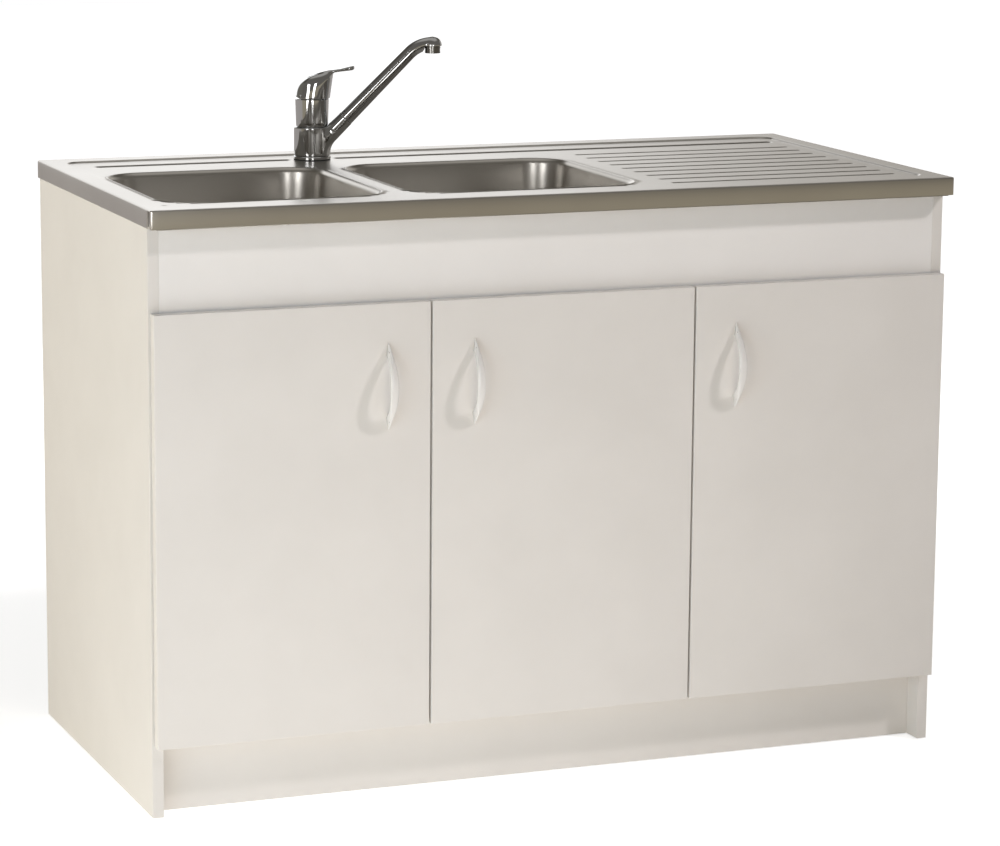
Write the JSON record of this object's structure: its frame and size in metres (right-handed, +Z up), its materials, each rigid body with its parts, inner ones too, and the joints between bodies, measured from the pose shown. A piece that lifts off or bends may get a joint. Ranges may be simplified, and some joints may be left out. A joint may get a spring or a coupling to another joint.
{
  "type": "sink base cabinet",
  "caption": "Free-standing kitchen sink base cabinet: hinged doors with bow handles, fascia and recessed plinth under a steel sink top with bowls, drainer and single-lever mixer tap.",
  "frame": {"origin": "centre of the whole object's footprint, on the floor", "axes": "+X to the right of someone facing the doors, +Y from the doors to the wall, +Z up"},
  "size_m": [1.2, 0.62, 1.0275],
  "materials": {
    "melamine": "satin white melamine with banded edges",
    "hardboard": "plain brown hardboard",
    "beech": "plain",
    "zinc": "bright zinc plate",
    "white_plastic": "satin",
    "clear_plastic": "soft clear buffer",
    "handle_plastic": "smooth gloss white",
    "stainless": "satin stainless sheet, brushed",
    "bright_steel": "polished",
    "black_rubber": "matt",
    "chrome": "mirror",
    "brass": "plain",
    "copper": "bright copper pipe"
  },
  "bodies": {
    "cabinet": {"left_side_panel": "melamine", "right_side_panel": "melamine", "partition": "melamine", "bottom_panel": "melamine", "plinth": "melamine", "rear_plinth": "melamine", "fascia": "melamine", "rear_top_rail": "melamine", "back_panel": "hardboard", "shelf": "melamine", "shelf_pins": "zinc", "glides": "white_plastic", "cam_bolts": "zinc", "cam_locks": "zinc", "dowels": "beech", "partition_screws": "zinc", "door_bumpers": "clear_plastic", "hinge_arms": "zinc", "cranked_hinge_arms": "zinc", "hinge_plates": "zinc", "hinge_plate_screws": "zinc", "hinge_pins": "zinc", "sink_deck": "stainless", "left_bowl": "stainless", "right_bowl": "stainless", "sink_clips": "zinc", "clip_screws": "zinc", "waste_flanges": "bright_steel", "waste_seals": "black_rubber", "waste_bodies": "white_plastic", "waste_screws": "bright_steel", "tap_body": "chrome", "tap_seal": "black_rubber", "tap_fixing_nut": "brass", "tap_tails": "copper"},
    "left_door": {"left_door": "melamine", "left_handle": "handle_plastic", "left_hinge_cups": "zinc", "left_door_screws": "zinc"},
    "middle_door": {"middle_door": "melamine", "middle_handle": "handle_plastic", "middle_hinge_cups": "zinc", "middle_door_screws": "zinc"},
    "right_door": {"right_door": "melamine", "right_handle": "handle_plastic", "right_hinge_cups": "zinc", "right_door_screws": "zinc"},
    "spout": {"spout_collar": "chrome", "spout_tube": "chrome", "aerator": "chrome"},
    "lever_turntable": {"lever_stem": "zinc"},
    "lever": {"lever": "chrome", "lever_pin": "zinc"}
  },
  "joints": [
    {"name": "left_door_hinge", "type": "hinge", "parent": "cabinet", "child": "left_door", "pos_m": [-0.588, -0.274, 0.4031], "axis": [0, 0, -1], "range_deg": [0, 95]},
    {"name": "middle_door_hinge", "type": "hinge", "parent": "cabinet", "child": "middle_door", "pos_m": [0.191, -0.274, 0.4031], "axis": [0, 0, 1], "range_deg": [0, 95]},
    {"name": "right_door_hinge", "type": "hinge", "parent": "cabinet", "child": "right_door", "pos_m": [0.588, -0.274, 0.4031], "axis": [0, 0, 1], "range_deg": [0, 95]},
    {"name": "spout_swivel", "type": "hinge", "parent": "cabinet", "child": "spout", "pos_m": [-0.2055, 0.215, 0.8705], "axis": [0, 0, 1], "range_deg": [-130, 50]},
    {"name": "lever_turn", "type": "hinge", "parent": "cabinet", "child": "lever_turntable", "pos_m": [-0.2055, 0.215, 0.9265], "axis": [0, 0, 1], "range_deg": [-45, 45]},
    {"name": "lever_lift", "type": "hinge", "parent": "lever_turntable", "child": "lever", "pos_m": [-0.21728, 0.22049, 0.9385], "axis": [-0.4226, -0.9063, 0], "range_deg": [0, 20]}
  ]
}
